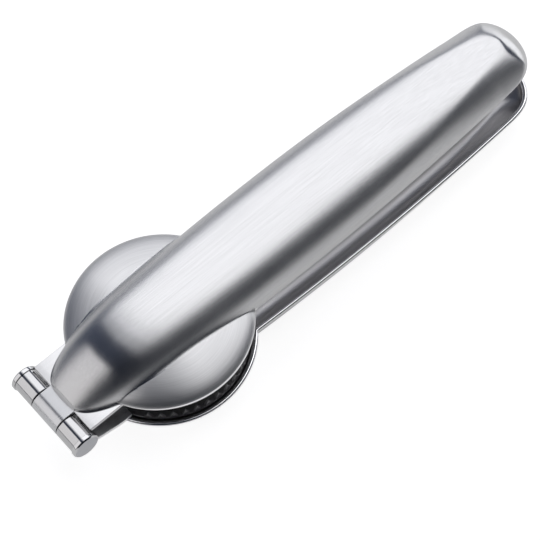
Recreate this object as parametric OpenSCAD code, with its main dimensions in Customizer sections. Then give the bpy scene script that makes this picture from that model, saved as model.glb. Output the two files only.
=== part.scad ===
// Hinged hand cutter for chestnuts: two pressed steel halves on one pin, crossed blades in the
// upper bowl and a toothed cup in the lower bowl. Millimetres, +Z up, handles along +X.
// It lies on the crown of its lower half, with the origin under the middle of its bounding box.

/* [Handles] */
// Pin axis to the end of the handles
reach = 164; // [145:0.1:185]
// Width of the upper handle where it is widest
grip_w = 30; // [27:0.1:36]
// Pin axis to that widest place
grip_x = 77.8; // [72:0.1:90]
// Width of the upper handle where its rounded end begins
end_w = 24.2; // [19:0.1:27]
// Length of the rounded end
end_len = 14.6; // [9:0.1:20]
// Height of the crown above the rim
crown_h = 10.1; // [9:0.1:15]
// Pin axis to the place where the crown begins to fall
drop_x = 80; // [75:0.5:110]
// Height of the crown where the rounded end begins
end_h = 7.3; // [5.5:0.1:9]
// Slope to which the wall round that end eases, in degrees
end_slope = 19; // [15:1:30]
// Slope of that wall at its foot, in degrees
end_foot = 50; // [45:1:60]
// Length in which that slope changes
end_turn = 6; // [4:0.1:8]
// How far from the end that wall leaves the handle's sides
end_spread = 30; // [20:1:40]
// Softness of the bend from the crown to that wall
end_bend = 0.4; // [0.3:0.1:2]
// How much softer that bend is at the handle's sides
side_bend = 2.4; // [0:0.1:4]
// Height of the blunt edge below that wall
end_tip = 1.6; // [1:0.1:3]
// Width of the flat strip along the crown
flat_w = 6; // [4:0.5:9]
// Length in which that strip reaches its full width
flat_len = 70; // [40:1:90]
// Extra width of the lower handle on each side of its end
flare = 2.6; // [0:0.1:3.5]
// How much shorter the lower handle is
lower_short = 1.4; // [0:0.1:3]

/* [Bowls] */
// Outside diameter of the bowls
bowl_d = 51; // [46:0.5:58]
// Pin axis to the middle of the bowls
bowl_x = 36.1; // [33:0.1:42]
// Height of the bowl's dome above its rim
bowl_h = 5.2; // [4.4:0.1:7.5]
// Width of the soft crease between the handle and the dome
crease = 1.4; // [0.6:0.1:2.5]

/* [Nose] */
// Pin axis to the tip of the nose
nose_x = 2.8; // [1.5:0.1:3.8]
// Length in which the nose reaches its full width
nose_len = 30; // [22:0.5:40]
// Length in which the crown rises from the nose to its full height
rise_len = 47.5; // [38:0.5:60]
// Height of the blunt edge of the nose
tip_h = 1.2; // [0.8:0.1:3]
// Length of the blunt edges at both tips
tip_len = 1; // [0.8:0.1:2.5]

/* [Sheet] */
// Thickness of the pressed halves
sheet = 1.2; // [0.8:0.1:1.6]
// Distance between the two rims
rim_gap = 10.3; // [9.5:0.1:16]

/* [Hinge] */
// Diameter of the pin
pin_d = 3.4; // [2.6:0.1:4.2]
// Diameter of the barrel round the pin
barrel_d = 7.4; // [6:0.1:8.2]
// Radial clearance of the pin in the turning knuckle
run_fit = 0.05; // [0.02:0.01:0.1]
// Radial clearance of the pin in the fixed sleeves
sleeve_fit = 0.02; // [0.01:0.01:0.05]
// Side clearance between moving pieces
play = 0.3; // [0.2:0.05:0.6]
// Width of the upper leaf
leaf_w = 23.8; // [20:0.1:25]
// Thickness of both leaves
leaf_t = 1.2; // [0.8:0.1:1.6]
// Lap of the leaves behind the front of the bowls
leaf_lap = 5; // [3:0.5:6]
// Width of the middle knuckle
knuckle_w = 10; // [8:0.1:13]
// Thickness of the end caps
cap_t = 1.4; // [1:0.1:1.8]
// How far the end caps stand out past the barrel
cap_lip = 0.3; // [0.1:0.05:0.5]
// Width of the bevel round the end caps
cap_edge = 0.4; // [0.2:0.05:0.6]

/* [Blades] */
// Thickness of the blades
blade_t = 1; // [0.6:0.1:1.6]
// Length of each blade
blade_span = 34; // [26:1:38]
// Rise of the cutting edge at its middle
blade_arch = 3; // [0.5:0.1:5]
// Height of the ground bevel
bevel_h = 2.2; // [1:0.1:3.5]
// Free space between the blades' points and the cup
tip_gap = 0.4; // [0.3:0.05:1]
// Thickness of the disc that carries the blades
carrier_t = 1.4; // [0.8:0.1:1.8]
// Length of the blades' tabs through the disc
tab_len = 7; // [4:0.5:9]
// Distance of the tabs' middles from the disc's middle
tab_x = 10; // [7.5:0.5:11]
// Clearance round the tabs and in the crossing
slot_fit = 0.05; // [0.03:0.01:0.12]

/* [Cup] */
// Thickness of the cup
cup_t = 0.8; // [0.6:0.1:1]
// Space between a bowl and what is set into it
seat_gap = 0.3; // [0.2:0.05:0.5]
// Space between a blade's point and the cup's wall
floor_margin = 1; // [0.6:0.1:1.5]
// Number of teeth that a full ring would have
tooth_n = 44; // [30:1:50]
// Height of a tooth
tooth_h = 2.4; // [1.4:0.1:3]
// Width of a tooth at its foot
tooth_w = 2.4; // [1.6:0.1:2.8]

/* [Hidden] */
$fn = 64;

// Stretches of stations along a shell: nose, bowl, grip and rounded end
n_nose = 8;
n_bowl = 20;
n_grip = 12;
n_end = 9;
// Columns from the middle of a shell to its split line, and from there to its rim
n_top = 7;
n_wall = 5;
// Exponents of a handle's cross-section, of its outline at the nose and of its rounded end
section_pow = 2.4;
nose_pow = 0.27;
end_pow = 3.6;
// How far the crown's shoulders draw in at the rounded end, what is added there to the exponent of
// the cross-section, and exponent of both changes
end_draw = 0.9;
end_square = 1.6;
change_pow = 4;
// Exponent of the crown's rise, and share of the sheet by which its inner face is set back there
rise_pow = 4.6;
rise_back = 0.27;
// Share of the handle's half width at the split line
split_share = 0.93;
// Angle of a sine that crowds the columns towards the split line
crowd = 70;
// Segments along a cutting edge
n_edge = 12;
// Overlap of pieces that are joined or cut
eps = 0.05;

bowl_r = bowl_d / 2;
barrel_r = barrel_d / 2;
end_x = reach - end_len;
x_mid = (reach - barrel_r - cap_lip) / 2;
z_lower = crown_h;
z_upper = crown_h + rim_gap;
z_pin = z_upper - barrel_r;

function clamp(v) = min(1, max(0, v));
function smooth(v) = v * v * (3 - 2 * v);
function soft_min(a, b, k) = min(a, b) - pow(max(k - abs(a - b), 0), 2) / (4 * k);
function soft_max(a, b, k) = max(a, b) + pow(max(k - abs(a - b), 0), 2) / (4 * k);

// Plan outline of a half. s is the inset from the outer face, f the half's extra width and shortening.
upper_form = [0, 0];
lower_form = [flare, lower_short];
function taper(x) = (grip_w - (grip_w - end_w) * pow((x - grip_x) / (end_x - grip_x), 2)) / 2;
function widening(x, f) = f[0] * clamp(x / end_x);
function nose_share(x, s) = pow(1 - pow(1 - clamp((x - nose_x - s) / nose_len), 2), nose_pow);
function end_share(x, s, f) = sqrt(1 - pow(clamp((x - end_x + f[1]) / (end_len - s)), end_pow));
function side_y(x, s, f) = (taper(x) + widening(x, f) - s) * nose_share(x, s);
function handle_y(x, s, f) = side_y(x, s, f) * end_share(x, s, f);
function bowl_y(x, s) = sqrt(max(0, pow(bowl_r - s, 2) - pow(x - bowl_x, 2)));
function rim_y(x, s, f) = max(handle_y(x, s, f), bowl_y(x, s));

// Height of a half above its rim
function fall(x) = (crown_h - end_h) * pow(max(0, x - drop_x) / (end_x - drop_x), 2);
function rise(x, s) =
    let (left = 1 - clamp((x - nose_x - rise_back * s) / rise_len))
    (crown_h - tip_h) * pow(left, rise_pow);
function crown_z(x, s) = crown_h - s - fall(x) - rise(x, s);
function flat_y(x) = flat_w / 2 * smooth(clamp((x - nose_x) / flat_len));
function change(x) = pow(clamp((x - drop_x) / (end_x - drop_x)), change_pow);
function section(x, y, w) =
    let (a = clamp((abs(y) - flat_y(x)) / (w - flat_y(x))), b = a + end_draw * change(x) * a * (1 - a))
    sqrt(1 - pow(b, section_pow + end_square * change(x)));
function side_share(x, y, s, f) = clamp(abs(y) / (taper(x) + widening(x, f) - s));
function bend(x, y, s, f) = end_bend + side_bend * pow(side_share(x, y, s, f), 2);
function from_end(x, y, s, f) =
    let (share = side_share(x, y, s, f))
    max(0, end_x - f[1] - x + (end_len - s) * pow(1 - share * share, 1 / end_pow));
function from_edge(x, y, s, f) =
    let (d = from_end(x, y, s, f), e = (side_y(x, s, f) - abs(y)) * (1 + pow(d / end_spread, 2)))
    d * e / max(eps, norm([d, e]));
function wall_z(d, s) =
    let (steeper = tan(end_foot) - tan(end_slope), mean = (end_foot + end_slope) / 2)
    end_tip + d * tan(end_slope) + steeper * end_turn * (1 - exp(-d / end_turn))
        - s * (1 / cos(mean) - tan(mean));
function blunt(d) = sqrt(1 - pow(1 - clamp(d / tip_len), 2));
function handle_z(x, y, s, f) =
    let (w = side_y(x, s, f), d = from_end(x, y, s, f))
    abs(y) >= handle_y(x, s, f) ? 0
        : soft_min(crown_z(x, s) * section(x, y, w), wall_z(from_edge(x, y, s, f), s), bend(x, y, s, f))
            * blunt(x - nose_x - s) * blunt(d);
function dome_z(x, y, s) =
    (bowl_h - s) * sqrt(max(0, 1 - (pow(x - bowl_x, 2) + y * y) / pow(bowl_r - s, 2)));
function shell_z(x, y, s, f) =
    let (a = handle_z(x, y, s, f), b = dome_z(x, y, s), k = min(crease, max(a, b, eps)))
    soft_max(a, b, k);

// Station where the bowl's circle meets the handle's outline: lo lies outside the bowl, hi in its middle
function meet(lo, hi, s, f, n = 30) =
    let (mid = (lo + hi) / 2, wide = bowl_y(mid, s) > handle_y(mid, s, f))
    n == 0 ? mid : wide ? meet(lo, mid, s, f, n - 1) : meet(mid, hi, s, f, n - 1);

// One surface of a half: its two end points and its rings of points, from near rim to far rim
function column(j, split, rim) =
    let (k = abs(j), side = sign(j))
    side * (k <= n_top
        ? split * sin(crowd * k / n_top) / sin(crowd)
        : split + (rim - split) * sin(90 * (k - n_top) / n_wall));
function ring(x, s, f) =
    let (rim = rim_y(x, s, f), split = split_share * handle_y(x, s, f))
    [for (j = [-n_half:n_half])
        let (y = column(j, split, rim))
        [x, y, abs(j) == n_half ? 0 : shell_z(x, y, s, f)]];
function stations(s, f) =
    let (tip = nose_x + s,
        front = meet(bowl_x - bowl_r + s, bowl_x, s, f),
        back = meet(bowl_x + bowl_r - s, bowl_x, s, f))
    concat(
        [for (i = [1:n_nose]) tip + (front - tip) * (1 - cos(90 * i / n_nose))],
        [for (i = [1:n_bowl]) front + (back - front) * i / n_bowl],
        [for (i = [1:n_grip]) back + (end_x - f[1] - back) * i / n_grip],
        [for (i = [1:n_end - 1]) end_x - f[1] + (end_len - s) * sin(90 * i / n_end)]);
function surface_points(s, f) = concat(
    [[nose_x + s, 0, 0]],
    [for (x = stations(s, f)) each ring(x, s, f)],
    [[reach - f[1] - s, 0, 0]]);

// Triangles of the two surfaces and of the flat rim between them
n_half = n_top + n_wall;
n_col = 2 * n_half + 1;
n_ring = n_nose + n_bowl + n_grip + n_end - 1;
n_surface = n_ring * n_col + 2;
function at(i, j) = 1 + i * n_col + j;
function quad(a, b, c, d, turn) = turn ? [[a, b, d], [b, c, d]] : [[a, b, c], [a, c, d]];
function surface_faces() = concat(
    [for (j = [0:n_col - 2]) [0, at(0, j + 1), at(0, j)]],
    [for (i = [0:n_ring - 2], j = [0:n_col - 2])
        each quad(at(i, j), at(i, j + 1), at(i + 1, j + 1), at(i + 1, j), j >= n_half)],
    [for (j = [0:n_col - 2]) [at(n_ring - 1, j), at(n_ring - 1, j + 1), n_surface - 1]]);
function turned(faces) = [for (t = faces) [t[0] + n_surface, t[2] + n_surface, t[1] + n_surface]];
function rim_loop(j) = concat([0], [for (i = [0:n_ring - 1]) at(i, j)], [n_surface - 1]);
function rim_faces(loop, turn) = [for (i = [0:len(loop) - 2])
    each turn
        ? quad(loop[i] + n_surface, loop[i + 1] + n_surface, loop[i + 1], loop[i], false)
        : quad(loop[i], loop[i + 1], loop[i + 1] + n_surface, loop[i] + n_surface, false)];

module half_shell(f) {
    polyhedron(
        points = concat(surface_points(0, f), surface_points(sheet, f)),
        faces = concat(
            surface_faces(),
            turned(surface_faces()),
            rim_faces(rim_loop(0), false),
            rim_faces(rim_loop(n_col - 1), true)),
        convexity = 6);
}

// Places that the hinge pieces share
sleeve_y = leaf_w / 2 + play;
knuckle_y = knuckle_w / 2;
leaf_front = sqrt(pow(barrel_r + play, 2) - pow(barrel_r - leaf_t, 2));
leaf_bend = bowl_x - bowl_r + sheet;
leaf_back = bowl_x - bowl_r + leaf_lap;
cap_r = barrel_r + cap_lip;

// Places that the pieces inside the bowls share
inner_r = bowl_r - sheet;
inner_h = bowl_h - sheet;
function inner_depth(r) = inner_h * sqrt(1 - pow(r / inner_r, 2));
function inner_radius(z) = inner_r * sqrt(1 - pow(z / inner_h, 2));
floor_r = blade_span / 2 + floor_margin;
cup_depth = inner_depth(floor_r + cup_t) - cup_t - seat_gap;
cup_r = inner_radius(cup_t) - seat_gap;
blade_drop = rim_gap + cup_depth - tip_gap;
lap_z = (blade_arch - blade_drop) / 2;

// Frame of the finished part, and a rod along the hinge from y = a to y = b
module placed() {
    translate([-x_mid, 0, 0])
        children();
}

module rod(r, a, b) {
    translate([0, a, z_pin])
        rotate([-90, 0, 0])
            cylinder(r = r, h = b - a);
}

module box(x0, x1, y0, y1, z0, z1) {
    translate([x0, y0, z0])
        cube([x1 - x0, y1 - y0, z1 - z0]);
}

module lower_shell() {
    color("silver")
        placed()
            translate([0, 0, z_lower])
                mirror([0, 0, 1])
                    half_shell(lower_form);
}

module upper_shell() {
    color("silver")
        placed()
            translate([0, 0, z_upper])
                half_shell(upper_form);
}

// Leaf on the lower rim that rises to the sleeves, with room for the middle knuckle
function touch(p, r) =
    let (turn = atan2(p[1], p[0]) - acos(r / norm(p)))
    r * [cos(turn), sin(turn)];

module lower_leaf() {
    foot = [leaf_bend, z_lower - z_pin];
    tip = touch(foot, barrel_r - leaf_t / 2);
    along = (tip - foot) / norm(tip - foot);
    up = [along[1], -along[0]];
    corner = foot + leaf_t * ([0, 1] + up) / (1 + up[1]);
    back = [leaf_back, foot[1]];
    color("gainsboro")
        placed()
            difference() {
                translate([0, sleeve_y, z_pin])
                    rotate([90, 0, 0])
                        linear_extrude(2 * sleeve_y)
                            polygon([back, foot, tip, tip + leaf_t * up, corner, back + [0, leaf_t]]);
                rod(barrel_r, -sleeve_y - eps, sleeve_y + eps);
                rod(barrel_r + play, -knuckle_y - play, knuckle_y + play);
            }
}

// Round end cap with a bevelled rim, over the pin
module cap() {
    color("darkgray")
        placed()
            difference() {
                translate([0, sleeve_y, z_pin])
                    rotate([-90, 0, 0]) {
                        cylinder(r = cap_r, h = cap_t - cap_edge);
                        translate([0, 0, cap_t - cap_edge])
                            cylinder(r1 = cap_r, r2 = cap_r - cap_edge, h = cap_edge);
                    }
                rod(pin_d / 2 + sleeve_fit, sleeve_y - eps, sleeve_y + cap_t / 2);
            }
}

module cap_near() {
    mirror([0, 1, 0])
        cap();
}

module cap_far() {
    cap();
}

// Rolled sleeve of the lower leaf
module sleeve(a, b) {
    color("whitesmoke")
        placed()
            difference() {
                rod(barrel_r, a, b);
                rod(pin_d / 2 + sleeve_fit, a - eps, b + eps);
            }
}

module sleeve_near() {
    sleeve(-sleeve_y, -knuckle_y - play);
}

module sleeve_far() {
    sleeve(knuckle_y + play, sleeve_y);
}

module hinge_pin() {
    color("gray")
        placed()
            rod(pin_d / 2, -sleeve_y - cap_t / 2, sleeve_y + cap_t / 2);
}

// Shallow dished cup under the lower rim, with a ring of upright teeth
module grip_cup() {
    slope = cup_depth;
    tooth_r = cup_r - cup_t;
    tooth = [[-tooth_w / 2, -eps], [tooth_w / 2, -eps], [0, tooth_h]];
    color("lightgray")
        placed()
            translate([bowl_x, 0, z_lower]) {
                rotate_extrude()
                    polygon([
                        [0, -cup_depth], [floor_r, -cup_depth], [floor_r + slope, 0], [cup_r, 0],
                        [cup_r, -cup_t], [floor_r + slope + cup_t / 2, -cup_t],
                        [floor_r + cup_t / 2, -cup_depth - cup_t], [0, -cup_depth - cup_t]
                    ]);
                for (i = [0:tooth_n - 1])
                    let (turn = i * 360 / tooth_n)
                        if (bowl_x + cup_r * cos(turn) > leaf_back + tooth_w / 2)
                            rotate([0, 0, turn])
                                translate([tooth_r, 0, 0])
                                    rotate([90, 0, 90])
                                        linear_extrude(cup_t - eps)
                                            polygon(tooth);
            }
}

// Flat leaf under the upper rim, curled round the pin at its middle
module upper_leaf() {
    color("white")
        placed()
            difference() {
                union() {
                    box(leaf_front, leaf_back, -leaf_w / 2, leaf_w / 2, z_upper - leaf_t, z_upper);
                    box(0, leaf_front + eps, -knuckle_y, knuckle_y, z_upper - leaf_t, z_upper);
                    rod(barrel_r, -knuckle_y, knuckle_y);
                }
                rod(pin_d / 2 + run_fit, -knuckle_y - eps, knuckle_y + eps);
            }
}

// Disc across the upper bowl, slotted for the blades' tabs
module blade_carrier() {
    color("gainsboro")
        placed()
            translate([bowl_x, 0, z_upper])
                difference() {
                    rotate_extrude()
                        polygon([
                            [0, 0], [inner_r - seat_gap, 0],
                            [inner_radius(carrier_t) - seat_gap, carrier_t], [0, carrier_t]
                        ]);
                    for (turn = [0:90:270])
                        rotate([0, 0, turn])
                            tab(slot_fit, -eps, carrier_t + eps);
                }
}

module tab(fit, z0, z1) {
    box(tab_x - tab_len / 2 - fit, tab_x + tab_len / 2 + fit, -blade_t / 2 - fit, blade_t / 2 + fit, z0, z1);
}

// Upright strip with an arched, ground edge, along X from the middle of the carrier
function edge_z(u) = blade_arch * (1 - u * u) - blade_drop;

module blade_strip() {
    sections = [for (i = [0:n_edge])
        let (u = 2 * i / n_edge - 1, x = u * blade_span / 2, z = edge_z(u), t = blade_t / 2)
        [[x, -t, 0], [x, -t, z + bevel_h], [x, 0, z], [x, t, z + bevel_h], [x, t, 0]]];
    sides = [for (i = [0:n_edge - 1], k = [0:4])
        let (a = 5 * i + k, b = 5 * i + (k + 1) % 5)
        each [[a, b + 5, b], [a, a + 5, b + 5]]];
    last = 5 * n_edge;
    caps = [
        [0, 1, 2], [0, 2, 3], [0, 3, 4],
        [last, last + 2, last + 1], [last, last + 3, last + 2], [last, last + 4, last + 3]
    ];
    polyhedron(points = [for (s = sections) each s], faces = concat(sides, caps), convexity = 4);
    for (turn = [0, 180])
        rotate([0, 0, turn])
            tab(0, -eps, carrier_t);
}

module crossing(z0, z1) {
    half = blade_t / 2 + slot_fit;
    box(-half, half, -blade_t, blade_t, z0, z1);
}

module blade(turn, z0, z1) {
    color("lightsteelblue")
        placed()
            translate([bowl_x, 0, z_upper])
                rotate([0, 0, turn])
                    difference() {
                        blade_strip();
                        crossing(z0, z1);
                    }
}

module blade_lengthwise() {
    blade(0, lap_z, carrier_t);
}

module blade_crosswise() {
    blade(90, -blade_drop - eps, lap_z);
}

lower_shell();
lower_leaf();
cap_near();
cap_far();
sleeve_near();
sleeve_far();
hinge_pin();
grip_cup();
upper_shell();
upper_leaf();
blade_carrier();
blade_lengthwise();
blade_crosswise();
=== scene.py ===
"""Looks of the hinged chestnut cutter: fine pressed shells, a polished hinge, blades and cup."""

import math
from collections import namedtuple

import bmesh
import bpy
import numpy as np
from mathutils import Matrix, Quaternion, Vector


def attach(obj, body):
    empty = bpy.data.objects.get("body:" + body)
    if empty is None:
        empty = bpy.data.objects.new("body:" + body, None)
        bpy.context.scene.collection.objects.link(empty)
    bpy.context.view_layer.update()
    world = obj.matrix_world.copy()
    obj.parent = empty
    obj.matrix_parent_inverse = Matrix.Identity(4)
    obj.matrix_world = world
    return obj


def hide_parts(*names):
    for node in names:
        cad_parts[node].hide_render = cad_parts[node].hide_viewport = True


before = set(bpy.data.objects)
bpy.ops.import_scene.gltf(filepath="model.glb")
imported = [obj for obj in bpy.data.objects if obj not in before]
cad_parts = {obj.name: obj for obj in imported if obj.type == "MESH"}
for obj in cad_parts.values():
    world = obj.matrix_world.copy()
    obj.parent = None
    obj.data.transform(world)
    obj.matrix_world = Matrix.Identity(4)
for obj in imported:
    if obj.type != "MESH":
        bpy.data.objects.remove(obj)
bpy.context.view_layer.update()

MM = 0.001

# Sizes in millimetres, with the names and values of the part's source. Slopes are in radians here
reach = 164
grip_w = 30
grip_x = 77.8
end_w = 24.2
end_len = 14.6
crown_h = 10.1
drop_x = 80
end_h = 7.3
end_slope = math.radians(19)
end_foot = math.radians(50)
end_turn = 6
end_spread = 30
end_bend = 0.4
side_bend = 2.4
end_tip = 1.6
flat_w = 6
flat_len = 70
flare = 2.6
lower_short = 1.4
bowl_d = 51
bowl_x = 36.1
bowl_h = 5.2
crease = 1.4
nose_x = 2.8
nose_len = 30
rise_len = 47.5
tip_h = 1.2
tip_len = 1
sheet = 1.2
rim_gap = 10.3
pin_d = 3.4
sleeve_fit = 0.02
barrel_d = 7.4
play = 0.3
leaf_w = 23.8
leaf_t = 1.2
leaf_lap = 5
knuckle_w = 10
cap_t = 1.4
cap_lip = 0.3
cap_edge = 0.4
blade_t = 1
blade_span = 34
blade_arch = 3
bevel_h = 2.2
tip_gap = 0.4
carrier_t = 1.4
cup_t = 0.8
seat_gap = 0.3
floor_margin = 1
tooth_n = 44
tooth_h = 2.4
tooth_w = 2.4
section_pow = 2.4
nose_pow = 0.27
end_pow = 3.6
end_draw = 0.9
end_square = 1.6
change_pow = 4
rise_pow = 4.6
rise_back = 0.27
split_share = 0.93
crowd = math.radians(70)
eps = 0.05

# Radius of the broken edges: rims of the upper and lower sheet, hinge, caps, cup and disc, teeth, blades
upper_round = 0.15
lower_round = 0.58
hinge_round = 0.16
cap_round = 0.07
cup_round = 0.2
tooth_round = 0.07
blade_round = 0.05
# Edges that turn by more than this are broken
sharp_turn = math.radians(40)
# Length of each side of the lower leaf's bend, and depth of a blade's root in its disc
leaf_ease = 1.5
blade_root = 0.4
# Start and stop of the upper leaf's curl round the pin, in degrees from +X towards +Z
curl_start = 90
curl_stop = 390

# Fine grid of a shell: stations in the nose, bowl, grip and rounded end, and columns to the rim
n_nose = 44
n_bowl = 96
n_grip = 110
n_end = 96
n_top = 40
n_wall = 48
# Columns at the foot of a bowl's wall that get the rim's material, polished and with a painted highlight
n_highlit_columns = 6
# Turns at which a rim's rounding has a row of points, in degrees
rim_turns = (30, 60, 90)
# Steps of the search for the place where the bowl meets the handle
n_search = 40
# Steps along the upper leaf's plate, its tongue and its curl
n_plate = 6
n_tongue = 3
n_curl = 60
# Steps along the lower leaf's plate and its bend
n_low_plate = 4
n_bend = 8
# Segments round the barrel's rings, round the cup and disc, and along a blade
n_ring_small = 96
n_ring_large = 144
n_edge = 48
# Segments across a broken edge
n_bevel = 3
# Points closer than this, in metres, are joined
join_dist = 1e-7
# Least divisor, where a width runs out
tiny = 1e-6

# Lengths and places that follow from these sizes
bowl_r = bowl_d / 2
barrel_r = barrel_d / 2
end_x = reach - end_len
x_mid = (reach - barrel_r - cap_lip) / 2
z_lower = crown_h
z_upper = crown_h + rim_gap
z_pin = z_upper - barrel_r
leaf_bend = bowl_x - bowl_r + sheet
leaf_back = bowl_x - bowl_r + leaf_lap
leaf_front = math.sqrt((barrel_r + play) ** 2 - (barrel_r - leaf_t) ** 2)
sleeve_y = leaf_w / 2 + play
knuckle_y = knuckle_w / 2
cap_r = barrel_r + cap_lip
bore_r = pin_d / 2 + sleeve_fit

# What sets the two halves apart: extra width at the handle's end, shortening and rounding of the rim
Form = namedtuple("Form", "flare short rim_round")
upper_form = Form(0, 0, upper_round)
lower_form = Form(flare, lower_short, lower_round)

# Places of a shell's materials in its list, the rim's with a painted highlight
OUTSIDE, INSIDE, HIGHLIT_RIM, WING = range(4)


# Form of a half, as in the part's source: s is the inset from the outer face
def clamp(v):
    return np.clip(v, 0, 1)


def soft_min(a, b, k):
    return np.minimum(a, b) - np.maximum(k - np.abs(a - b), 0) ** 2 / (4 * k)


def soft_max(a, b, k):
    return np.maximum(a, b) + np.maximum(k - np.abs(a - b), 0) ** 2 / (4 * k)


def smooth(v):
    return v * v * (3 - 2 * v)


def blunt(d):
    return np.sqrt(1 - (1 - clamp(d / tip_len)) ** 2)


def full_y(x, s, form):
    taper = (grip_w - (grip_w - end_w) * ((x - grip_x) / (end_x - grip_x)) ** 2) / 2
    return taper + form.flare * clamp(x / end_x) - s


def side_y(x, s, form):
    return full_y(x, s, form) * (1 - (1 - clamp((x - nose_x - s) / nose_len)) ** 2) ** nose_pow


def handle_y(x, s, form):
    end_share = np.sqrt(1 - clamp((x - end_x + form.short) / (end_len - s)) ** end_pow)
    return side_y(x, s, form) * end_share


def bowl_y(x, s):
    return np.sqrt(np.maximum(0, (bowl_r - s) ** 2 - (x - bowl_x) ** 2))


def crown_z(x, s):
    fall = (crown_h - end_h) * (np.maximum(0, x - drop_x) / (end_x - drop_x)) ** 2
    rise = (crown_h - tip_h) * (1 - clamp((x - nose_x - rise_back * s) / rise_len)) ** rise_pow
    return crown_h - s - fall - rise


def section(x, y, w):
    """Share of the crown's height that is left at a place across the handle."""
    flat = flat_w / 2 * smooth(clamp((x - nose_x) / flat_len))
    change = clamp((x - drop_x) / (end_x - drop_x)) ** change_pow
    across = clamp((np.abs(y) - flat) / np.maximum(w - flat, tiny))
    drawn = across + end_draw * change * across * (1 - across)
    return np.sqrt(1 - drawn ** (section_pow + end_square * change))


def wall_z(edge, s):
    """Height of the sloped wall round the handle's end, at a distance from its edge."""
    steeper = (math.tan(end_foot) - math.tan(end_slope)) * end_turn
    mean = (end_foot + end_slope) / 2
    wall = end_tip + edge * math.tan(end_slope) + steeper * (1 - np.exp(-edge / end_turn))
    return wall - s * (1 / math.cos(mean) - math.tan(mean))


def handle_z(x, y, s, form):
    w = side_y(x, s, form)
    share = clamp(np.abs(y) / full_y(x, s, form))
    d = np.maximum(0, end_x - form.short - x + (end_len - s) * (1 - share**2) ** (1 / end_pow))
    e = np.maximum(w - np.abs(y), 0) * (1 + (d / end_spread) ** 2)
    edge = d * e / np.maximum(eps, np.hypot(d, e))
    crown = crown_z(x, s) * section(x, y, w)
    z = soft_min(crown, wall_z(edge, s), end_bend + side_bend * share**2)
    z = z * blunt(x - nose_x - s) * blunt(d)
    return np.where(np.abs(y) >= handle_y(x, s, form), 0, z)


def shell_z(x, y, s, form):
    handle = handle_z(x, y, s, form)
    from_axis = (x - bowl_x) ** 2 + y * y
    dome = (bowl_h - s) * np.sqrt(np.maximum(0, 1 - from_axis / (bowl_r - s) ** 2))
    k = np.minimum(crease, np.maximum(np.maximum(handle, dome), eps))
    return soft_max(handle, dome, k)


def meet(outside, inside, s, form):
    """Station where the bowl's circle meets the handle's outline."""
    for _ in range(n_search):
        mid = (outside + inside) / 2
        if bowl_y(mid, s) > handle_y(mid, s, form):
            inside = mid
        else:
            outside = mid
    return mid


def stations(s, form):
    tip = nose_x + s
    front = meet(bowl_x - bowl_r + s, bowl_x, s, form)
    back = meet(bowl_x + bowl_r - s, bowl_x, s, form)
    last = end_x - form.short
    nose = tip + (front - tip) * (1 - np.cos(np.pi / 2 * np.arange(1, n_nose + 1) / n_nose))
    bowl = front + (back - front) * np.arange(1, n_bowl + 1) / n_bowl
    grip = back + (last - back) * np.arange(1, n_grip + 1) / n_grip
    end = last + (end_len - s) * np.sin(np.pi / 2 * np.arange(1, n_end) / n_end)
    return np.concatenate([nose, bowl, grip, end])


def surface(s, form):
    """End point at the nose, rings of points from near rim to far rim, and end point of the handle."""
    x = stations(s, form)[:, None]
    width = handle_y(x, s, form)
    rim = np.maximum(width, bowl_y(x, s))
    split = split_share * width
    top = split * np.sin(crowd * np.arange(n_top + 1) / n_top) / math.sin(crowd)
    wall = split + (rim - split) * np.sin(np.pi / 2 * np.arange(1, n_wall + 1) / n_wall)
    half = np.concatenate([top, wall], axis=1)
    y = np.concatenate([-half[:, :0:-1], half], axis=1)
    x = np.broadcast_to(x, y.shape)
    z = np.maximum(shell_z(x, y, s, form), form.rim_round)
    z[:, [0, -1]] = form.rim_round
    first = [[nose_x + s, 0, form.rim_round]]
    last = [[reach - form.short - s, 0, form.rim_round]]
    return np.concatenate([first, np.stack([x, y, z], axis=2).reshape(-1, 3), last])


def rim_rows(points, loop, inward, radius):
    """Rows of points that round the edge of a surface off to the flat of the rim."""
    p = points[loop]
    along = np.roll(p, -1, axis=0) - np.roll(p, 1, axis=0)
    side = np.stack([-along[:, 1], along[:, 0], 0 * along[:, 0]], axis=1)
    side /= np.linalg.norm(side, axis=1, keepdims=True)
    rows = []
    for turn in rim_turns:
        t = math.radians(turn)
        row = p + inward * side * radius * (1 - math.cos(t))
        row[:, 2] = radius * (1 - math.sin(t))
        rows.append(row)
    return rows


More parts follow.
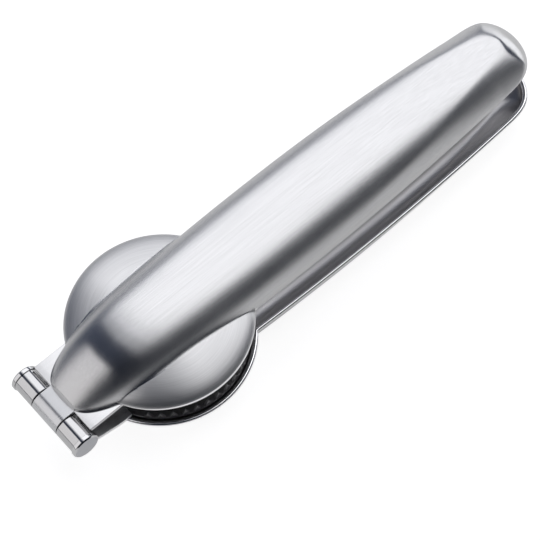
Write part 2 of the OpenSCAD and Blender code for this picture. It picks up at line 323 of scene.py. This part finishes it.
def half_mesh(name, form, z_rim, flip):
    """Closed sheet of a half: outer surface, inner surface and rounded rim.

    The form is drawn upward from its rim. A half that is turned over hangs down from it.
    """
    n_col = 2 * (n_top + n_wall) + 1
    n_ring = n_nose + n_bowl + n_grip + n_end - 1
    count = n_ring * n_col + 2
    grid = 1 + np.arange(n_ring * n_col).reshape(n_ring, n_col)

    # Faces of the two surfaces: fans at both ends, and a grid between them
    faces = []
    for j in range(n_col - 1):
        faces.append((0, grid[0, j + 1], grid[0, j]))
        faces.append((grid[-1, j], grid[-1, j + 1], count - 1))
    a, b = grid[:-1, :-1].ravel(), grid[:-1, 1:].ravel()
    c, d = grid[1:, 1:].ravel(), grid[1:, :-1].ravel()
    faces += list(zip(a, b, c, d))
    inner_faces = [tuple(v + count for v in reversed(f)) for f in faces]

    # Rounded rim between the edges of the two surfaces
    loop = np.concatenate([[0], grid[:, 0], [count - 1], grid[::-1, -1]])
    outer, inner = surface(0, form), surface(sheet, form)
    rows = [loop]
    points = [outer, inner]
    total = 2 * count
    outer_rows = rim_rows(outer, loop, 1, form.rim_round)
    inner_rows = rim_rows(inner, loop, -1, form.rim_round)
    for row in outer_rows + inner_rows[::-1]:
        points.append(row)
        rows.append(total + np.arange(len(loop)))
        total += len(loop)
    rows.append(loop + count)
    rim_faces = []
    for r, q in zip(rows, rows[1:]):
        rim_faces += list(zip(r, np.roll(r, -1), np.roll(q, -1), q))

    points = np.concatenate(points)
    points[:, 0] -= x_mid
    points[:, 2] = z_rim - points[:, 2] if flip else z_rim + points[:, 2]
    every = faces + inner_faces + rim_faces
    if flip:
        every = [tuple(reversed(f)) for f in every]
    obj = add_mesh(name, points, every)

    # Finish of each face: beside the handle's outline the bowl's wings, at their foot a polished edge
    # with a painted highlight
    corners = outer[grid]
    middle = (corners[:-1, :-1] + corners[1:, 1:]) / 2
    beside = np.abs(middle[:, :, 1]) > handle_y(middle[:, :, 0], 0, form)
    finish = np.where(beside, WING, OUTSIDE)
    finish[n_nose : n_nose + n_bowl, :n_highlit_columns] = HIGHLIT_RIM
    finish[n_nose : n_nose + n_bowl, -n_highlit_columns:] = HIGHLIT_RIM
    kinds = [OUTSIDE] * (2 * (n_col - 1)) + finish.ravel().tolist()
    kinds += [INSIDE] * len(inner_faces) + [HIGHLIT_RIM] * len(rim_faces)
    obj.data.polygons.foreach_set("material_index", kinds)
    return obj


# Mesh helpers: points are in millimetres in the frame of the part
def add_mesh(name, points, faces):
    mesh = bpy.data.meshes.new(name)
    corners = [tuple(int(v) for v in f) for f in faces]
    mesh.from_pydata((np.asarray(points) * MM).tolist(), [], corners)
    mesh.validate()
    mesh.polygons.foreach_set("use_smooth", [True] * len(mesh.polygons))
    obj = bpy.data.objects.new(name, mesh)
    bpy.context.scene.collection.objects.link(obj)
    return obj


def break_edges(obj, width, thickness=0):
    if thickness:
        thick = obj.modifiers.new("thickness", "SOLIDIFY")
        thick.thickness = thickness * MM
        thick.offset = -1
        thick.use_even_offset = True
    bevel = obj.modifiers.new("broken_edges", "BEVEL")
    bevel.width = width * MM
    bevel.segments = n_bevel
    bevel.limit_method = "ANGLE"
    bevel.angle_limit = sharp_turn
    even = obj.modifiers.new("even_normals", "WEIGHTED_NORMAL")
    even.keep_sharp = True


def bent_sheet(name, path, widths):
    """Surface along a path of (x, z) points, each with its list of (y0, y1) spans."""
    cols = sorted({y for spans in widths for span in spans for y in span})
    points, index, faces = [], {}, []

    def vertex(i, y):
        if (i, y) not in index:
            index[(i, y)] = len(points)
            points.append((path[i][0] - x_mid, y, path[i][1]))
        return index[(i, y)]

    for i in range(len(path) - 1):
        for y0, y1 in zip(cols, cols[1:]):
            if all(any(a <= y0 and y1 <= b for a, b in spans) for spans in widths[i : i + 2]):
                faces.append((vertex(i, y0), vertex(i + 1, y0), vertex(i + 1, y1), vertex(i, y1)))
    return add_mesh(name, points, faces)


def turned(name, profile, centre, axis, steps):
    """Ring of a closed (radius, height) profile round an axis along Y or Z."""
    points, faces = [], []
    m = len(profile)
    for k in range(steps):
        c, s = math.cos(2 * math.pi * k / steps), math.sin(2 * math.pi * k / steps)
        for r, h in profile:
            p = (r * c, r * s, h) if axis == "Z" else (r * s, h, r * c)
            points.append((p[0] + centre[0] - x_mid, p[1] + centre[1], p[2] + centre[2]))
    for k in range(steps):
        for i in range(m):
            a, b = k * m + i, k * m + (i + 1) % m
            c, d = (k + 1) % steps * m + (i + 1) % m, (k + 1) % steps * m + i
            faces.append((a, d, c, b))
    obj = add_mesh(name, points, faces)
    clean_mesh(obj)
    return obj


def clean_mesh(obj):
    """Joins doubled points, drops empty faces and turns the others outward."""
    bm = bmesh.new()
    bm.from_mesh(obj.data)
    bmesh.ops.remove_doubles(bm, verts=bm.verts, dist=join_dist)
    bmesh.ops.dissolve_degenerate(bm, edges=bm.edges, dist=join_dist)
    bmesh.ops.recalc_face_normals(bm, faces=bm.faces)
    bm.to_mesh(obj.data)
    bm.free()
    obj.data.polygons.foreach_set("use_smooth", [True] * len(obj.data.polygons))


def arc(cx, cz, r, start, stop, steps):
    turns = [math.radians(start + (stop - start) * k / steps) for k in range(steps + 1)]
    return [(cx + r * math.cos(t), cz + r * math.sin(t)) for t in turns]


# Materials: the part of a noise's range over which the tones and the roughness change
noise_low = 0.3
noise_high = 0.7
# Depth of the brush marks and size of the cloudy patches of wear, in millimetres
mark_depth = 0.02
cloud_size = (18, 14, 14)
# Rows of marks to a mark's width, and how far the rows slip past each other, in mark lengths
row_share = 0.4
row_slip = 9
# Turn of a brushed metal's gloss, so that it spreads across the marks, in whole turns
gloss_turn = 0.25


def node(tree, kind, **values):
    n = tree.nodes.new(kind)
    for key, value in values.items():
        if key in n.inputs:
            n.inputs[key].default_value = value
        else:
            setattr(n, key, value)
    return n


def round_bowl(tree, place):
    """Direction round the bowl's axis, and a place counted along that circle, out from it and up."""
    arm = node(tree, "ShaderNodeVectorMath", operation="SUBTRACT")
    arm.inputs[1].default_value = ((bowl_x - x_mid) * MM, 0, 0)
    tree.links.new(place, arm.inputs[0])
    tangent = node(tree, "ShaderNodeVectorMath", operation="CROSS_PRODUCT")
    tangent.inputs[0].default_value = (0, 0, 1)
    tree.links.new(arm.outputs["Vector"], tangent.inputs[1])
    out = node(tree, "ShaderNodeVectorMath", operation="LENGTH")
    tree.links.new(tangent.outputs["Vector"], out.inputs[0])
    axes = node(tree, "ShaderNodeSeparateXYZ")
    tree.links.new(arm.outputs["Vector"], axes.inputs[0])
    angle = node(tree, "ShaderNodeMath", operation="ARCTAN2")
    tree.links.new(axes.outputs["Y"], angle.inputs[0])
    tree.links.new(axes.outputs["X"], angle.inputs[1])
    along = node(tree, "ShaderNodeMath", operation="MULTIPLY")
    along.inputs[1].default_value = bowl_r * MM
    tree.links.new(angle.outputs[0], along.inputs[0])
    counted = node(tree, "ShaderNodeCombineXYZ")
    tree.links.new(along.outputs[0], counted.inputs["X"])
    tree.links.new(out.outputs["Value"], counted.inputs["Y"])
    tree.links.new(axes.outputs["Z"], counted.inputs["Z"])
    return tangent.outputs["Vector"], counted.outputs["Vector"]


def metal(name, colour, roughness, line, coarse, grain, bump, smudge=0.03, anisotropic=0, circles=False):
    """Worked metal. line is the (x, y, z) size of a brush mark in millimetres, grain its contrast,
    coarse the size of the broader marks among them, and smudge how far the roughness varies.

    Where the metal is brushed, the marks run along X, or in circles round the bowl's axis.
    """
    mat = bpy.data.materials.new(name)
    mat.use_nodes = True
    tree = mat.node_tree
    shader = tree.nodes["Principled BSDF"]
    shader.inputs["Metallic"].default_value = 1
    shader.inputs["Anisotropic"].default_value = anisotropic
    shader.inputs["Anisotropic Rotation"].default_value = gloss_turn
    place = node(tree, "ShaderNodeTexCoord").outputs["Object"]
    if circles:
        tangent, place = round_bowl(tree, place)

    def noise_of(scale, detail):
        scaled = node(tree, "ShaderNodeMapping", vector_type="POINT", Scale=scale)
        tree.links.new(place, scaled.inputs["Vector"])
        noise = node(tree, "ShaderNodeTexNoise", Scale=1, Detail=detail, Roughness=0.6)
        tree.links.new(scaled.outputs["Vector"], noise.inputs["Vector"])
        return scaled.outputs["Vector"], noise

    def marks(size, detail):
        scaled, noise = noise_of([1 / (MM * v) for v in size], detail)
        rows = noise_of([0 if v == max(size) else row_share / (MM * v) for v in size], detail=0)[1]
        slipped = node(tree, "ShaderNodeVectorMath", operation="MULTIPLY_ADD")
        slipped.inputs[1].default_value = [row_slip if v == max(size) else 0 for v in size]
        tree.links.new(rows.outputs["Color"], slipped.inputs[0])
        tree.links.new(scaled, slipped.inputs[2])
        tree.links.new(slipped.outputs["Vector"], noise.inputs["Vector"])
        return noise.outputs["Fac"]

    fine = marks(line, detail=2)
    broad = marks([v * coarse for v in line], detail=1)
    cloud = marks(cloud_size, detail=3)

    both = node(tree, "ShaderNodeMath", operation="ADD")
    tree.links.new(fine, both.inputs[0])
    tree.links.new(broad, both.inputs[1])
    mean = node(tree, "ShaderNodeMath", operation="MULTIPLY")
    mean.inputs[1].default_value = 0.5
    tree.links.new(both.outputs[0], mean.inputs[0])
    tone = node(tree, "ShaderNodeValToRGB")
    dark, light = tone.color_ramp.elements
    dark.position, light.position = noise_low, noise_high
    dark.color = [v * (1 - grain) for v in colour] + [1]
    light.color = [v * (1 + grain) for v in colour] + [1]
    tree.links.new(mean.outputs[0], tone.inputs["Fac"])
    tree.links.new(tone.outputs["Color"], shader.inputs["Base Color"])

    worn = node(tree, "ShaderNodeMapRange")
    worn.inputs["From Min"].default_value = noise_low
    worn.inputs["From Max"].default_value = noise_high
    worn.inputs["To Min"].default_value = roughness - smudge
    worn.inputs["To Max"].default_value = roughness + smudge
    tree.links.new(cloud, worn.inputs["Value"])
    tree.links.new(worn.outputs["Result"], shader.inputs["Roughness"])

    relief = node(tree, "ShaderNodeBump", Strength=bump, Distance=mark_depth * MM)
    tree.links.new(fine, relief.inputs["Height"])
    tree.links.new(relief.outputs["Normal"], shader.inputs["Normal"])

    if anisotropic:
        brush = node(tree, "ShaderNodeVectorTransform", vector_type="VECTOR")
        brush.convert_from, brush.convert_to = "OBJECT", "WORLD"
        brush.inputs["Vector"].default_value = (1, 0, 0)
        if circles:
            tree.links.new(tangent, brush.inputs["Vector"])
        tree.links.new(brush.outputs["Vector"], shader.inputs["Tangent"])
    return mat


steel = (0.6, 0.6, 0.605)
brushed = metal(
    "brushed_shell", steel, roughness=0.253, anisotropic=0.954,
    line=(10, 0.22, 0.22), coarse=1.7, grain=0.07, bump=0.15, smudge=0.012,
)
wing_face = metal(
    "brushed_wing", steel, roughness=0.315, anisotropic=0.88, circles=True,
    line=(10, 0.22, 0.22), coarse=1.7, grain=0.09, bump=0.15, smudge=0.012,
)
# Darker copy of the shell steel for the insides of the halves: painted shade in the gap between them
inner_face_shaded = metal(
    "inner_face_shaded", (0.43, 0.425, 0.43), roughness=0.3,
    line=(20, 0.25, 0.25), coarse=2.6, grain=0.05, bump=0.05,
)
# Polished edge with a base far lighter than the steel: a painted highlight along the rims and the foot
# of the bowl's wall
rim_highlight = metal(
    "rim_highlight", (0.95, 0.95, 0.955), roughness=0.14,
    line=(8, 0.3, 0.3), coarse=2.6, grain=0.04, bump=0.03,
)
mirror = metal(
    "polished_leaf", steel, roughness=0.09,
    line=(9, 0.2, 0.2), coarse=3, grain=0.02, bump=0.01, smudge=0.01,
)
sleeve_polish = metal(
    "polished_sleeve", (0.53, 0.53, 0.535), roughness=0.12,
    line=(0.2, 6, 0.2), coarse=3, grain=0.02, bump=0.02, smudge=0.02,
)
satin = metal(
    "satin_plate", (0.48, 0.485, 0.51), roughness=0.3,
    line=(3, 3, 0.14), coarse=2.5, grain=0.04, bump=0.05,
)
# Satin lower leaf with a base much lighter than the steel: painted light on a leaf that lies in the
# upper leaf's shade
satin_leaf_painted_light = metal(
    "satin_leaf_painted_light", (0.85, 0.85, 0.86), roughness=0.4,
    line=(3, 0.3, 0.3), coarse=2.5, grain=0.12, bump=0.2,
)
satin_knuckle = metal(
    "satin_knuckle", (0.58, 0.585, 0.595), roughness=0.29,
    line=(4, 0.14, 0.14), coarse=2.5, grain=0.04, bump=0.05,
)
pin_steel = metal(
    "pin_steel", (0.5, 0.5, 0.51), roughness=0.25,
    line=(0.2, 5, 0.2), coarse=2, grain=0.04, bump=0.03,
)
cup_steel = metal(
    "cup_steel", (0.36, 0.36, 0.365), roughness=0.36,
    line=(0.25, 0.25, 0.25), coarse=4, grain=0.04, bump=0.04,
)
blade_steel = metal(
    "blade_steel", (0.6, 0.605, 0.615), roughness=0.22,
    line=(0.18, 0.18, 3), coarse=2.5, grain=0.04, bump=0.04,
)
ground_steel = metal(
    "ground_edge", (0.72, 0.725, 0.73), roughness=0.14,
    line=(0.12, 0.12, 1.5), coarse=2.5, grain=0.03, bump=0.03,
)
shell_finish = [brushed, inner_face_shaded, rim_highlight, wing_face]


def finish_piece(obj, body, mats, slot, *nodes):
    for m in mats:
        obj.data.materials.append(m)
    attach(obj, body)
    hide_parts(*nodes)


# Pressed halves
upper = half_mesh("upper_half_shell", upper_form, z_upper, False)
finish_piece(upper, "upper_half", shell_finish, "brushed_shell", "upper_shell")
lower = half_mesh("lower_half_shell", lower_form, z_lower, True)
finish_piece(lower, "lower_half", shell_finish, "brushed_shell", "lower_shell")

# Upper leaf: a flat plate that narrows to a tongue and curls round the pin
plate_path = [(leaf_back - (leaf_back - leaf_front) * k / n_plate, z_upper) for k in range(n_plate + 1)]
tongue_path = [(leaf_front * (1 - k / n_tongue), z_upper) for k in range(1, n_tongue + 1)]
curl = arc(0, z_pin, barrel_r, curl_start, curl_stop, n_curl)[1:]
plate_span = [(-leaf_w / 2, leaf_w / 2)]
tongue_span = [(-knuckle_y, knuckle_y)]
widths = [plate_span] * len(plate_path) + [tongue_span] * (len(tongue_path) + len(curl))
leaf = bent_sheet("upper_hinge_leaf", plate_path + tongue_path + curl, widths)
for poly in leaf.data.polygons:
    poly.flip()
    poly.material_index = 1 if poly.center.x < (leaf_front - x_mid) * MM else 0
break_edges(leaf, hinge_round, leaf_t)
finish_piece(leaf, "upper_half", [mirror, satin_knuckle], "polished_leaf", "upper_leaf")

# Lower leaf: a flat plate on the lower rim that rises to the sleeves, in (x, z) from the pin
foot = Vector((leaf_bend, z_lower - z_pin))
tip_r = barrel_r - leaf_t / 2
turn = math.atan2(foot.y, foot.x) - math.acos(tip_r / foot.length)
tip = tip_r * Vector((math.cos(turn), math.sin(turn)))
along = (tip - foot).normalized()
clear = math.sqrt((barrel_r + play) ** 2 - (tip_r - leaf_t) ** 2)
flat_end = leaf_bend + leaf_ease
low_step = (leaf_back - flat_end) / n_low_plate
low_path = [Vector((leaf_back - low_step * k, foot.y)) for k in range(n_low_plate)]
for k in range(n_bend + 1):
    u = k / n_bend
    low_path.append(foot + leaf_ease * ((1 - u) ** 2 * Vector((1, 0)) + u**2 * along))
low_path += [tip - along * clear, tip]
low_span = [(-sleeve_y, sleeve_y)]
webs = [(-sleeve_y, -knuckle_y - play), (knuckle_y + play, sleeve_y)]
widths = [low_span] * (len(low_path) - 1) + [webs]
low_leaf = bent_sheet("lower_hinge_leaf", [(p.x, p.y + z_pin) for p in low_path], widths)
break_edges(low_leaf, hinge_round, leaf_t)
finish_piece(low_leaf, "lower_half", [satin_leaf_painted_light], "polished_leaf", "lower_leaf")

# Bevelled end caps over the pin, satin where they face along it by more than this share
cap_facing = 0.9
for name, side in (("cap_near", -1), ("cap_far", 1)):
    heights = [
        (bore_r, 0),
        (cap_r, 0),
        (cap_r, cap_t - cap_edge),
        (cap_r - cap_edge, cap_t),
        (0, cap_t),
        (0, cap_t / 2),
        (bore_r, cap_t / 2),
    ]
    profile = [(r, side * (sleeve_y + h)) for r, h in heights]
    cap = turned(name + "_disc", profile, (0, 0, z_pin), "Y", n_ring_small)
    for poly in cap.data.polygons:
        poly.material_index = 0 if side * poly.normal.y > cap_facing else 1
    break_edges(cap, cap_round)
    finish_piece(cap, "lower_half", [satin, mirror], "satin_plate", name)

# Sleeves of the barrel
for name, (a, b) in zip(("sleeve_near", "sleeve_far"), webs):
    profile = [(bore_r, a), (barrel_r, a), (barrel_r, b), (bore_r, b)]
    ring = turned(name + "_roll", profile, (0, 0, z_pin), "Y", n_ring_small)
    break_edges(ring, hinge_round)
    finish_piece(ring, "lower_half", [sleeve_polish], "polished_sleeve", name)

# Cup in the lower bowl
inner_r = bowl_r - sheet
inner_h = bowl_h - sheet
floor_r = blade_span / 2 + floor_margin
cup_depth = inner_h * math.sqrt(1 - ((floor_r + cup_t) / inner_r) ** 2) - cup_t - seat_gap
cup_r = inner_r * math.sqrt(1 - (cup_t / inner_h) ** 2) - seat_gap
wall_r = floor_r + cup_depth
profile = [
    (0, -cup_depth),
    (floor_r, -cup_depth),
    (wall_r, 0),
    (cup_r, 0),
    (cup_r, -cup_t),
    (wall_r + cup_t / 2, -cup_t),
    (floor_r + cup_t / 2, -cup_depth - cup_t),
    (0, -cup_depth - cup_t),
]
dish = turned("cup_dish", profile, (bowl_x, 0, z_lower), "Z", n_ring_large)
break_edges(dish, cup_round)
finish_piece(dish, "lower_half", [cup_steel], "cup_steel", "grip_cup")

# Teeth on the cup's rim, clear of the lower leaf
points, faces = [], []
for i in range(tooth_n):
    t = 2 * math.pi * i / tooth_n
    if bowl_x + cup_r * math.cos(t) <= leaf_back + tooth_w / 2:
        continue
    n = len(points)
    for r in (cup_r - cup_t, cup_r - eps):
        for w, z in ((-tooth_w / 2, -eps), (tooth_w / 2, -eps), (0, tooth_h)):
            x = bowl_x + r * math.cos(t) - w * math.sin(t)
            y = r * math.sin(t) + w * math.cos(t)
            points.append((x - x_mid, y, z_lower + z))
    faces += [(n, n + 2, n + 1), (n + 3, n + 4, n + 5), (n, n + 1, n + 4, n + 3)]
    faces += [(n + 1, n + 2, n + 5, n + 4), (n + 2, n, n + 3, n + 5)]
teeth = add_mesh("cup_teeth", points, faces)
clean_mesh(teeth)
break_edges(teeth, tooth_round)
finish_piece(teeth, "lower_half", [cup_steel], "cup_steel", "grip_cup")

# Disc in the upper bowl
disc_low_r = inner_r - seat_gap
disc_high_r = inner_r * math.sqrt(1 - (carrier_t / inner_h) ** 2) - seat_gap
profile = [(0, 0), (disc_low_r, 0), (disc_high_r, carrier_t), (0, carrier_t)]
disc = turned("blade_disc", profile, (bowl_x, 0, z_upper), "Z", n_ring_large)
break_edges(disc, cup_round)
finish_piece(disc, "upper_half", [cup_steel], "cup_steel", "blade_carrier")

# Crossed blades under the disc: sections of five points with the cutting edge in their middle
n_section = 5
blade_drop = rim_gap + cup_depth - tip_gap
half_t = blade_t / 2
for name, crosswise in (("blade_lengthwise", False), ("blade_crosswise", True)):
    points, faces, kinds = [], [], []
    for i in range(n_edge + 1):
        u = 2 * i / n_edge - 1
        a = u * blade_span / 2
        edge = blade_arch * (1 - u * u) - blade_drop
        bevel = edge + bevel_h
        near_side = [(-half_t, blade_root), (-half_t, bevel)]
        far_side = [(half_t, bevel), (half_t, blade_root)]
        for h, z in near_side + [(0, edge)] + far_side:
            x, y = (-h, a) if crosswise else (a, h)
            points.append((x + bowl_x - x_mid, y, z + z_upper))
    for i in range(n_edge):
        for k in range(n_section):
            a, b = n_section * i + k, n_section * i + (k + 1) % n_section
            faces.append((a, b, b + n_section, a + n_section))
            kinds.append(1 if k in (1, 2) else 0)
    last = n_section * n_edge
    faces += [tuple(reversed(range(n_section))), tuple(range(last, last + n_section))]
    kinds += [0, 0]
    strip = add_mesh(name + "_strip", points, faces)
    strip.data.polygons.foreach_set("material_index", kinds)
    clean_mesh(strip)
    break_edges(strip, blade_round)
    finish_piece(strip, "upper_half", [blade_steel, ground_steel], "blade_steel", name)

# Pin: the part's own node
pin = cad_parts["hinge_pin"]
pin.data.materials.clear()
pin.data.materials.append(pin_steel)

# Floor, with the white of the background in its own material. Half its side in metres, its own grey,
# the level of that white, and the share of it that the metal sees
floor_half = 9
floor_grey = (0.35, 0.35, 0.352, 1)
floor_glow = 0.87
glossy_share = 0.6
white = (1, 1, 1, 1)
floor_mesh = bpy.data.meshes.new("floor")
floor_corners = [(x * floor_half, y * floor_half, 0) for x, y in ((-1, -1), (1, -1), (1, 1), (-1, 1))]
floor_mesh.from_pydata(floor_corners, [], [(0, 1, 2, 3)])
floor = bpy.data.objects.new("floor", floor_mesh)
bpy.context.scene.collection.objects.link(floor)
floor_mat = bpy.data.materials.new("floor")
floor_mat.use_nodes = True
tree = floor_mat.node_tree
tree.nodes.clear()
out = node(tree, "ShaderNodeOutputMaterial")
matt = node(tree, "ShaderNodeBsdfDiffuse", Color=floor_grey)
glow = node(tree, "ShaderNodeEmission", Color=white)
seen = node(tree, "ShaderNodeLightPath")
share = node(tree, "ShaderNodeMath", operation="MULTIPLY_ADD")
share.inputs[1].default_value = glossy_share
tree.links.new(seen.outputs["Is Glossy Ray"], share.inputs[0])
tree.links.new(seen.outputs["Is Camera Ray"], share.inputs[2])
through = node(tree, "ShaderNodeMath", operation="ADD")
tree.links.new(share.outputs[0], through.inputs[0])
tree.links.new(seen.outputs["Is Transmission Ray"], through.inputs[1])
level = node(tree, "ShaderNodeMath", operation="MULTIPLY")
level.inputs[1].default_value = floor_glow
tree.links.new(through.outputs[0], level.inputs[0])
tree.links.new(level.outputs[0], glow.inputs["Strength"])
total = node(tree, "ShaderNodeAddShader")
tree.links.new(matt.outputs[0], total.inputs[0])
tree.links.new(glow.outputs[0], total.inputs[1])
tree.links.new(total.outputs[0], out.inputs["Surface"])
floor_mesh.materials.append(floor_mat)


# Studio: soft panels overhead, beyond the hinge and beyond the handles, in a dim room. In metres
def panel(name, centre, aim, across, size, radiance, colour):
    lamp = bpy.data.lights.new(name, "AREA")
    lamp.shape = "RECTANGLE"
    lamp.size, lamp.size_y = size
    lamp.energy = radiance * math.pi * size[0] * size[1]
    lamp.color = colour
    obj = bpy.data.objects.new(name, lamp)
    z = -Vector(aim).normalized()
    x = Vector(across).normalized()
    y = z.cross(x)
    turn = Matrix((x, y, z)).transposed().to_4x4()
    obj.matrix_world = Matrix.Translation(centre) @ turn
    obj.visible_camera = False
    bpy.context.scene.collection.objects.link(obj)


# The overhead panel is three strips side by side, which dim towards the hinge
overhead_y = 0.645
overhead_z = 0.8
overhead_len = 1.91
overhead_colour = (1, 0.995, 1)
# Name, start and stop along X, and radiance
overhead_strips = (
    ("overhead", 0.05, 1.2, 1.5),
    ("overhead_edge", -0.02, 0.05, 1.0),
    ("overhead_rim", -0.1, -0.02, 0.5),
)
for name, start, stop, radiance in overhead_strips:
    centre = ((start + stop) / 2, overhead_y, overhead_z)
    size = (stop - start, overhead_len)
    panel(name, centre, (0, 0, -1), (1, 0, 0), size, radiance, overhead_colour)
panel(
    "hinge_side", (-0.657, 0.275, 0.44), aim=(0.745, 0, -0.667), across=(0, 1, 0),
    size=(0.75, 0.96), radiance=1.05, colour=(1, 0.975, 0.965),
)
panel(
    "end_side", (0.9, 0.3, 0.155), aim=(-1, 0, 0), across=(0, 1, 0),
    size=(1.2, 0.29), radiance=1.4, colour=(1, 1, 1),
)

# The room is bluish, a little lighter towards +X and +Y, and never quite dark
room_colour = (0.75, 0.9, 1.35, 1)
room_level = 0.05
room_lean = (0.03, 0.06, 0)
room_least = 0.02
world = bpy.data.worlds.new("studio")
bpy.context.scene.world = world
world.use_nodes = True
tree = world.node_tree
sky = tree.nodes["Background"]
sky.inputs["Color"].default_value = room_colour
where = node(tree, "ShaderNodeTexCoord")
lean = node(tree, "ShaderNodeVectorMath", operation="DOT_PRODUCT")
lean.inputs[1].default_value = room_lean
tree.links.new(where.outputs["Generated"], lean.inputs[0])
dim = node(tree, "ShaderNodeMath", operation="ADD")
dim.inputs[1].default_value = room_level
tree.links.new(lean.outputs["Value"], dim.inputs[0])
least = node(tree, "ShaderNodeMath", operation="MAXIMUM")
least.inputs[1].default_value = room_least
tree.links.new(dim.outputs[0], least.inputs[0])
tree.links.new(least.outputs[0], sky.inputs["Strength"])

# Camera at the angle of the photo
eye = Vector((-0.16725, -0.24256, 0.59306))
aim = Vector((-0.01252, -0.00836, 0.0204))
roll = math.radians(-7.99)
cam = bpy.data.cameras.new("camera")
cam.sensor_width = 36
cam.lens = 160
cam.clip_start = 0.01
cam.clip_end = 50
view = bpy.data.objects.new("camera", cam)
view.location = eye
view.rotation_mode = "QUATERNION"
view.rotation_quaternion = (aim - eye).to_track_quat("-Z", "Y") @ Quaternion((0, 0, 1), roll)
bpy.context.scene.collection.objects.link(view)
bpy.context.scene.camera = view
bpy.context.scene.view_settings.view_transform = "Standard"
